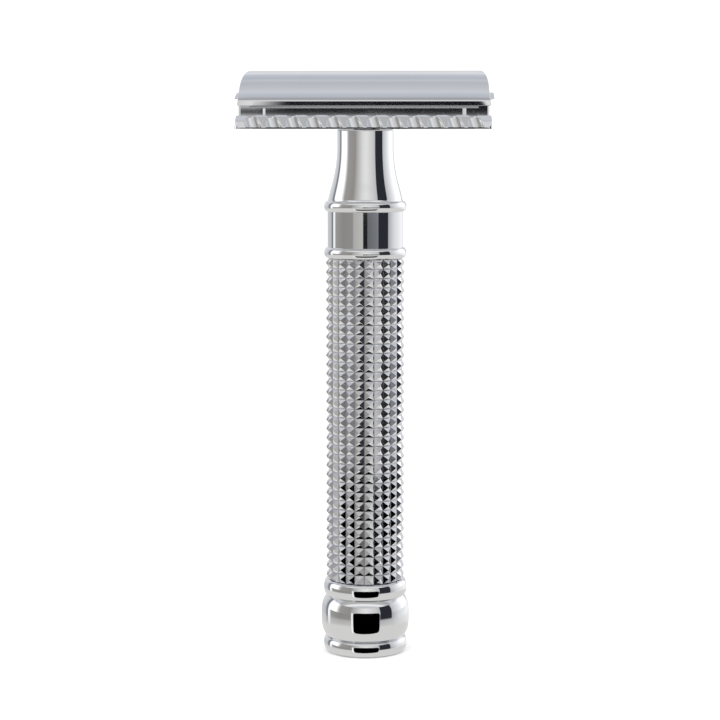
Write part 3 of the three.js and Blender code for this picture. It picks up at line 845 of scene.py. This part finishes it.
def make_cap(material):
    """Rings along X whose ends follow cap_end, closed at each end by columns from dome to underside."""
    bm = bmesh.new()
    column_steps = 7

    def column(top, bottom):
        """Points strictly between a dome point and the underside point below it, closer at both ends."""
        spots = [(1 - math.cos(math.pi * k / column_steps)) / 2 for k in range(1, column_steps)]
        return [tuple(Vector(top).lerp(Vector(bottom), t)) for t in spots]

    def ring(side, along, edge_angle):
        inset = CAP_EDGE * (1 - math.cos(edge_angle))
        dome, under = cap_section(inset)
        outline = dome + column(dome[-1], under[-1]) + under[::-1] + column(under[0], dome[0])
        reach = CAP_EDGE * (1 - math.sin(edge_angle))
        return [bm.verts.new((side * along * (cap_end(z + inset) - reach), y, z)) for y, z in outline]

    edge_steps = [TURN / 4 * k / 6 for k in range(7)]
    middle = [(0.0 if k == 0 else math.copysign(1, k), abs(k) / 8, 0.0) for k in range(-7, 8)]
    stations = [(-1, 1.0, a) for a in reversed(edge_steps)] + middle + [(1, 1.0, a) for a in edge_steps]
    rings = [ring(*station) for station in stations]
    join_rings(bm, rings)

    dome, under = cap_section(CAP_EDGE)
    columns = len(dome)
    for side, rim in ((-1, rings[0]), (1, rings[-1])):
        grid = []
        for k in range(columns):
            top, bottom = rim[k], rim[2 * columns + column_steps - 2 - k]
            if k == 0:
                between = rim[:-column_steps:-1]
            elif k == columns - 1:
                between = rim[columns:columns + column_steps - 1]
            else:
                places = [(side * cap_end(z + CAP_EDGE), y, z) for y, z in column(dome[k], under[k])]
                between = [bm.verts.new(place) for place in places]
            grid.append([top, *between, bottom])
        for left, right in zip(grid, grid[1:]):
            for m in range(column_steps):
                bm.faces.new((left[m], right[m], right[m + 1], left[m + 1]))
    return finish_piece("cap_domed", bm, "cap", ["cap"], material, sharp_angle=50)


def make_stud(material):
    """The stud that clamps the head: threaded below the cap and plain inside it."""
    low, high = cad_box("cap_stud")
    bm = bmesh.new()

    def plain(z):
        return z > CAP_LIP_TOP + GAP

    first, last = add_threaded(bm, low.z, high.z, M5_RADIUS, M5_PITCH, plain, chamfer=0.5)
    bm.faces.new(first[::-1])
    bm.faces.new(last)
    return finish_piece("cap_stud_threaded", bm, "cap", ["cap_stud"], material)


def make_pin(side, name, material):
    """One of the two pins that place the blade, with a domed tip."""
    node = f"cap_pin_{name}"
    low, high = cad_box(node)
    tip_height, edge, steps = 0.5, 0.1, 10
    tip = []
    for i in range(steps + 1):
        angle = TURN / 4 * i / steps
        tip.append((PIN_RADIUS * math.sin(angle), low.z + tip_height * (1 - math.cos(angle))))
    profile = [*tip, (PIN_RADIUS, high.z - edge), (PIN_RADIUS - edge, high.z), (0, high.z)]
    bm = bmesh.new()
    add_turned(bm, profile, 64, (side * PIN_SPACING / 2, 0.0))
    return finish_piece(f"{node}_turned", bm, "cap", [node], material)


# ---------------- materials


class Nodes:
    """Shorthand for building a node tree, of a material or of the studio's world."""

    def __init__(self, tree):
        self.tree = tree

    def add(self, kind, inputs=None, **settings):
        node = self.tree.nodes.new(kind)
        for key, value in settings.items():
            setattr(node, key, value)
        for key, value in (inputs or {}).items():
            if isinstance(value, bpy.types.NodeSocket):
                self.tree.links.new(value, node.inputs[key])
            else:
                node.inputs[key].default_value = value
        return node

    def mix(self, factor, first, second):
        return self.add("ShaderNodeMix", {0: factor, 6: first, 7: second}, data_type="RGBA").outputs[2]

    def math(self, operation, first, second=0.0):
        return self.add("ShaderNodeMath", {0: first, 1: second}, operation=operation).outputs[0]


class Finish(Nodes):
    """One material's nodes, whose patterns are placed in the object's own space."""

    def __init__(self, name, metallic=1.0):
        self.material = bpy.data.materials.new(name)
        self.material.use_nodes = True
        super().__init__(self.material.node_tree)
        self.shader = self.tree.nodes["Principled BSDF"]
        self.shader.inputs["Metallic"].default_value = metallic
        self.place = self.add("ShaderNodeTexCoord").outputs["Object"]

    def noise(self, scale, stretch=(1, 1, 1), detail=4.0, roughness=0.55):
        mapping = self.add("ShaderNodeMapping", {"Vector": self.place, "Scale": stretch})
        return self.add("ShaderNodeTexNoise", {
            "Vector": mapping.outputs[0], "Scale": scale, "Detail": detail, "Roughness": roughness,
        }).outputs["Fac"]

    def ramp(self, value, low, high, from_low=0.3, from_high=0.7):
        return self.add("ShaderNodeMapRange", {
            "Value": value, "From Min": from_low, "From Max": from_high, "To Min": low, "To Max": high,
        }).outputs[0]

    def bump(self, height, strength, distance, normal=None):
        inputs = {"Height": height, "Strength": strength, "Distance": distance}
        if normal is not None:
            inputs["Normal"] = normal
        return self.add("ShaderNodeBump", inputs).outputs[0]

    def link(self, value, socket):
        self.tree.links.new(value, self.shader.inputs[socket])


def on_bar_face(m):
    """1 on the outer faces of the guard plate's bars, above their lowest strip, and 0 elsewhere."""
    _, y, z = (m.add("ShaderNodeSeparateXYZ", {0: m.place}).outputs[i] for i in range(3))
    outward = m.ramp(m.math("ABSOLUTE", y, 0.0), 0.0, 1.0, (BAR_INNER + 0.1) * MM, (BAR_INNER + 0.3) * MM)
    upward = m.ramp(z, 0.0, 1.0, (PLATE_FOOT + 0.25) * MM, (PLATE_FOOT + 0.4) * MM)
    return m.math("MULTIPLY", outward, upward)


def chrome_material(name, tint, shade, smooth, dull, marks_depth, ripple, wipe_stretch, satin_bars=0.0):
    """Chrome plate: clouded brightness, wiping marks in the roughness and a faint plating ripple.

    satin_bars is the roughness that the outer faces of the safety bars have beyond the rest.
    """
    m = Finish(name)
    clouds = m.noise(90.0, detail=5.0)
    wipes = m.noise(260.0, wipe_stretch, detail=6.0, roughness=0.7)
    specks = m.noise(2200.0, detail=2.0)
    marks = m.ramp(wipes, 0.0, 1.0, 0.45, 0.75)
    m.link(m.mix(m.ramp(clouds, 0.0, 1.0), tint, shade), "Base Color")
    hazed = m.ramp(marks, smooth, dull, 0.0, 1.0)
    roughness = m.math("ADD", hazed, m.ramp(specks, 0.0, 0.012, 0.6, 0.8))
    if satin_bars:
        roughness = m.math("ADD", roughness, m.math("MULTIPLY", on_bar_face(m), satin_bars))
    m.link(roughness, "Roughness")
    fine = m.bump(wipes, marks_depth, 0.00002)
    m.link(m.bump(m.noise(420.0, detail=1.0), ripple, 0.00002, fine), "Normal")
    return m.material


def knurl_material():
    """Chrome over cut pyramids: cutter lines across each face, and painted shade that darkens the valleys
    in patches.
    """
    m = Finish("chrome_pyramids")
    x, y, _ = (m.add("ShaderNodeSeparateXYZ", {0: m.place}).outputs[i] for i in range(3))
    radius = m.math("SQRT", m.math("ADD", m.math("MULTIPLY", x, x), m.math("MULTIPLY", y, y)), 0.0)
    depth = m.ramp(radius, 1.0, 0.0, VALLEY_RADIUS * MM, (VALLEY_RADIUS + 0.07) * MM)
    # Painted shade: the valleys between the pyramids are darkened in colour, in patches, and made a
    # little rougher.
    valley_shade = m.math("MULTIPLY", depth, m.ramp(m.noise(700.0), 0.35, 1.0))
    m.link(m.mix(valley_shade, (0.83, 0.83, 0.85, 1), (0.44, 0.44, 0.46, 1)), "Base Color")
    lines = m.noise(1500.0, (0.15, 0.15, 3.0), detail=3.0)
    m.link(m.math("ADD", m.ramp(lines, 0.045, 0.11), m.math("MULTIPLY", valley_shade, 0.12)), "Roughness")
    m.link(m.bump(lines, 0.05, 0.00001), "Normal")
    return m.material


def blade_material():
    """Ground stainless strip: long grinding lines in its shade, roughness and bumps."""
    m = Finish("blade_steel")
    grain = m.noise(900.0, (0.04, 6.0, 6.0), detail=5.0)
    m.link(m.mix(m.ramp(grain, 0, 1), (0.62, 0.63, 0.64, 1), (0.5, 0.51, 0.53, 1)), "Base Color")
    m.link(m.ramp(grain, 0.16, 0.3), "Roughness")
    m.link(m.bump(grain, 0.12, 0.00001), "Normal")
    return m.material


def turned_material(name, patches_scale, patches_detail, tint, shade, smooth):
    """Turned metal, with fine rings round it and patches of a darker shade."""
    m = Finish(name)
    rings = m.noise(1200.0, (0.05, 0.05, 5.0), detail=4.0)
    patches = m.noise(patches_scale, detail=patches_detail)
    m.link(m.mix(m.ramp(patches, 0, 1), tint, shade), "Base Color")
    m.link(m.ramp(rings, smooth, smooth + 0.16), "Roughness")
    m.link(m.bump(rings, 0.15, 0.00001), "Normal")
    return m.material


def steel_material():
    """Turned steel, slightly blotchy."""
    return turned_material("turned_steel", 300.0, 4.0, (0.6, 0.61, 0.62, 1), (0.48, 0.48, 0.49, 1), 0.18)


def brass_material():
    """Turned brass, a little browned in patches."""
    return turned_material("turned_brass", 500.0, 6.0, (0.83, 0.62, 0.27, 1), (0.55, 0.38, 0.16, 1), 0.2)


def floor_material():
    """Matt white paper with a very faint tooth."""
    m = Finish("floor_paper", metallic=0.0)
    tooth = m.noise(900.0, detail=3.0)
    m.link(m.mix(m.ramp(tooth, 0, 1), (0.93, 0.93, 0.93, 1), (0.9, 0.9, 0.9, 1)), "Base Color")
    m.shader.inputs["Roughness"].default_value = 0.9
    m.link(m.bump(tooth, 0.05, 0.0001), "Normal")
    return m.material


# ---------------- studio

# What the chrome mirrors, as (degrees, brightness, blueness) stops.
# Round the horizon: degrees from straight in front, to the right.
AROUND = (
    (-180, 0.80, 0.02), (-150, 0.85, 0.02), (-128, 0.72, 0.04), (-119, 0.22, 0.2), (-114, 0.28, 0.2),
    (-111, 1.3, 0.03), (-84, 1.6, 0.0), (-77, 0.95, -0.02), (-70, 0.42, -0.08), (-40, 0.36, -0.08),
    (-30, 0.55, -0.05), (-8, 0.92, -0.02), (5, 1.0, -0.02), (28, 0.80, -0.02), (45, 0.60, 0.0),
    (73, 0.60, 0.03), (80, 0.7, 0.03), (100, 1.0, 0.03), (125, 1.5, 0.02), (150, 1.3, 0.02),
    (156, 0.6, 0.05), (160, 0.75, 0.02), (180, 0.80, 0.02),
)
# The same just below the horizon, where the light on the left is cut off.
AROUND_LOW = (
    (-180, 0.75, 0.02), (-128, 0.66, 0.04), (-119, 0.2, 0.2), (-115, 0.25, 0.2), (-113, 1.2, 0.02),
    (-105, 1.2, 0.02), (-102, 0.42, -0.05), (-70, 0.34, -0.08), (-38, 0.36, -0.08), (-34, 0.55, -0.05),
    (-6, 0.66, -0.05), (-5, 0.02, 0.1), (7, 0.02, 0.1), (8, 0.17, 0.12), (38, 0.24, 0.12),
    (45, 0.4, 0.05), (78, 0.55, 0.05), (100, 0.9, 0.03), (143, 1.2, 0.02), (180, 0.75, 0.02),
)
# Overhead: degrees up from straight in front, past the zenith at 90, to straight behind at 180.
OVERHEAD = (
    (0, 0.65, 0.02), (30, 0.61, 0.03), (40, 0.78, 0.02), (46, 1.15, 0.0), (51, 1.1, 0.0),
    (56, 0.62, -0.03), (66, 0.58, -0.03), (71, 0.50, 0.06), (75, 0.44, 0.06), (79, 0.61, 0.1),
    (84, 0.67, 0.13), (90, 0.77, 0.08), (97, 0.70, 0.07), (104, 0.66, 0.08), (112, 0.62, 0.08),
    (118, 0.70, 0.1), (127, 0.60, 0.13), (140, 0.72, 0.12), (150, 1.0, 0.05), (180, 1.1, 0.02),
)
BELOW = (0.84, 0.83, 0.81, 1)
# Where each of these takes over from AROUND: it starts and is complete at these degrees up.
LOW_FADE = (-1.5, -2.1)
OVERHEAD_FADE = (26, 34)
BELOW_FADE = (-11, -16)
# A tall dark screen to the right, in degrees round and up.
SCREEN_AROUND = (41.5, 75.5)
SCREEN_UP = (-12, 30)
SCREEN_SOFTNESS = 1.0
SCREEN_COLOUR = (0.03, 0.032, 0.042, 1)
# The camera's own dark strip, as (left, right, top) degrees; only upright flat faces near it mirror it.
CAMERA_STRIPS = ((-7, 8, 0.74), (-4.2, 8, 1.25))
CAMERA_STRIP_FOOT = 0.51
CAMERA_STRIP_SOFTNESS = (0.6, 0.11)  # round and up
CAMERA_STRIP_COLOUR = (0.012, 0.012, 0.016, 1)

# Cards close in front of the foot, in millimetres: left, right and brightness.
DARK_CARD = (-56, 80, 0.0)
BRIGHT_CARD = (-68, -58, 1.2)
CARD_BOTTOM = -58
CARD_TOP = 15
CARD_DISTANCE = 100.0
CARD_ROUNDNESS = 0.2  # of the shorter side

# Floor, lights and camera, in metres, watts and millimetres of lens
PLAIN_LIGHT = 1.2  # the world's strength for what isn't a mirror
FLOOR_HALF_SIZE = 3.0
FLOOR_DROP = 0.0002
SOFTBOX_SIZE = (0.5, 0.5)
KEY_PLACE, KEY_POWER = (-0.35, -0.45, 0.6), 2.5
FILL_PLACE, FILL_POWER = (0.5, -0.2, 0.5), 1.5
CAMERA_PLACE = (0.009, -0.345, 0.088)
CAMERA_TARGET = (-0.0009, 0.0, 0.0566)
LENS = 102.2
LENS_SHIFT = -0.0556


def make_world():
    """A pale studio, with the bands of light and dark that polished chrome shows."""
    world = bpy.data.worlds.new("studio")
    world.use_nodes = True
    bpy.context.scene.world = world
    world.node_tree.nodes.clear()
    w = Nodes(world.node_tree)

    def degrees_between(first, second):
        return w.math("MULTIPLY", w.math("ARCTAN2", first, second), 360 / TURN)

    def fade(value, low, high):
        made = w.add("ShaderNodeMapRange", {"Value": value, "From Min": low, "From Max": high})
        made.interpolation_type = "SMOOTHSTEP"
        return made.outputs[0]

    def window(value, low, high, soft):
        rise = fade(value, low - soft, low + soft)
        return w.math("MULTIPLY", rise, fade(value, high + soft, high - soft))

    def bands(degrees, start, stops):
        """A colour ramp over degrees from start on; its colours are halved to stay under 1."""
        span = stops[-1][0] - stops[0][0]
        place = w.math("DIVIDE", w.math("SUBTRACT", degrees, start), span)
        ramp = w.add("ShaderNodeValToRGB", {"Fac": place})
        elements = ramp.color_ramp.elements
        elements.remove(elements[-1])
        for i, (at, brightness, blueness) in enumerate(stops):
            element = elements[0] if i == 0 else elements.new((at - start) / span)
            element.position = (at - start) / span
            half = brightness / 2
            element.color = (half, half * (1 + blueness / 3), half * (1 + blueness), 1)
        doubled = w.add("ShaderNodeVectorMath", {0: ramp.outputs[0], 1: (2, 2, 2)}, operation="MULTIPLY")
        return doubled.outputs[0]

    direction = w.add("ShaderNodeTexCoord").outputs["Generated"]
    parts = w.add("ShaderNodeSeparateXYZ", {0: direction})
    x, y, z = (parts.outputs[i] for i in range(3))
    front = w.math("MULTIPLY", y, -1.0)
    azimuth = degrees_between(x, front)
    elevation = w.math("MULTIPLY", w.math("ARCSINE", z), 360 / TURN)
    arch = degrees_between(z, front)

    level, low = bands(azimuth, -180, AROUND), bands(azimuth, -180, AROUND_LOW)
    seen = w.mix(fade(elevation, *LOW_FADE), level, low)
    seen = w.mix(fade(elevation, *OVERHEAD_FADE), seen, bands(arch, 0, OVERHEAD))
    seen = w.mix(fade(elevation, *BELOW_FADE), seen, BELOW)
    across = window(azimuth, *SCREEN_AROUND, SCREEN_SOFTNESS)
    screen = w.math("MULTIPLY", across, window(elevation, *SCREEN_UP, SCREEN_SOFTNESS))
    seen = w.mix(screen, seen, SCREEN_COLOUR)
    soft_across, soft_up = CAMERA_STRIP_SOFTNESS
    for left, right, top in CAMERA_STRIPS:
        across = window(azimuth, left, right, soft_across)
        strip = w.math("MULTIPLY", across, window(elevation, CAMERA_STRIP_FOOT, top, soft_up))
        seen = w.mix(strip, seen, CAMERA_STRIP_COLOUR)

    path = w.add("ShaderNodeLightPath")
    mirrored = w.add("ShaderNodeBackground", {"Color": seen, "Strength": 1.0})
    plain = w.add("ShaderNodeBackground", {"Color": (1.0, 1.0, 1.0, 1), "Strength": PLAIN_LIGHT})
    choice = {0: path.outputs["Is Glossy Ray"], 1: plain.outputs[0], 2: mirrored.outputs[0]}
    shown = w.add("ShaderNodeMixShader", choice)
    w.add("ShaderNodeOutputWorld", {0: shown.outputs[0]})


def make_floor(material):
    """A wide pale floor just under the foot, which the chrome doesn't mirror."""
    bm = bmesh.new()
    bmesh.ops.create_grid(bm, x_segments=8, y_segments=8, size=FLOOR_HALF_SIZE)
    floor = mesh_object("floor", bm)
    floor.data.materials.append(material)
    floor.location.z = -FLOOR_DROP
    floor.visible_glossy = False


def make_card(name, left, right, brightness):
    """A round-cornered card close in front of the foot, which shows only in the pommel's chrome."""
    m = Finish(name, metallic=0.0)
    m.shader.inputs["Base Color"].default_value = (0, 0, 0, 1)
    m.shader.inputs["Specular IOR Level"].default_value = 0.0
    m.shader.inputs["Emission Color"].default_value = (1, 1, 1, 1)
    m.shader.inputs["Emission Strength"].default_value = brightness
    bm = bmesh.new()
    width, height = right - left, CARD_TOP - CARD_BOTTOM
    outline = rounded_box_outline(width, height, min(width, height) * CARD_ROUNDNESS)
    middle_x, middle_z = (left + right) / 2, (CARD_BOTTOM + CARD_TOP) / 2
    bm.faces.new([bm.verts.new((x + middle_x, -CARD_DISTANCE, z + middle_z)) for x, z in outline])
    bm.transform(Matrix.Scale(MM, 4))
    card = mesh_object(name, bm)
    card.data.materials.append(m.material)
    card.visible_camera = False
    card.visible_diffuse = False
    card.visible_shadow = False


def make_light(name, place, power):
    """A soft box aimed at the middle of the razor."""
    light = bpy.data.lights.new(name, "AREA")
    light.shape = "RECTANGLE"
    light.size, light.size_y = SOFTBOX_SIZE
    light.energy = power
    lamp = bpy.data.objects.new(name, light)
    bpy.context.scene.collection.objects.link(lamp)
    lamp.location = place
    target = Vector((0, 0, CAD_HIGH.z / 2))
    lamp.rotation_euler = (target - lamp.location).to_track_quat("-Z", "Y").to_euler()
    lamp.visible_glossy = False


def make_camera():
    """Level with the head and a third of a metre in front, tipped down to take in the handle."""
    camera = bpy.data.cameras.new("camera")
    holder = bpy.data.objects.new("camera", camera)
    bpy.context.scene.collection.objects.link(holder)
    camera.sensor_width = 36.0
    camera.lens = LENS
    camera.shift_y = LENS_SHIFT
    holder.location = CAMERA_PLACE
    holder.rotation_euler = (Vector(CAMERA_TARGET) - holder.location).to_track_quat("-Z", "Y").to_euler()
    bpy.context.scene.camera = holder


# ---------------- build


polished = chrome_material(
    "chrome_polished",
    tint=(0.75, 0.755, 0.77, 1),
    shade=(0.72, 0.725, 0.74, 1),
    smooth=0.03,
    dull=0.06,
    marks_depth=0.02,
    ripple=0.02,
    wipe_stretch=(1, 1, 0.2),
)
cast = chrome_material(
    "chrome_cast",
    tint=(0.74, 0.745, 0.765, 1),
    shade=(0.71, 0.715, 0.74, 1),
    smooth=0.02,
    dull=0.036,
    marks_depth=0.005,
    ripple=0.01,
    wipe_stretch=(0.15, 1, 1),
    satin_bars=0.2,
)
knurled = knurl_material()
blade_steel = blade_material()
steel = steel_material()
brass = brass_material()

make_pommel(polished)
make_neck(polished)
make_sleeve(knurled)
make_core_rod(steel)
make_insert(brass)
make_guard_plate(cast)
make_blade(blade_steel)
make_cap(cast)
make_stud(brass)
for side, name in ((-1, "left"), (1, "right")):
    make_pin(side, name, steel)

make_world()
make_floor(floor_material())
make_card("card_dark", *DARK_CARD)
make_card("card_bright", *BRIGHT_CARD)
make_light("key_softbox", KEY_PLACE, KEY_POWER)
make_light("fill_softbox", FILL_PLACE, FILL_POWER)
make_camera()
bpy.context.scene.view_settings.view_transform = "Standard"
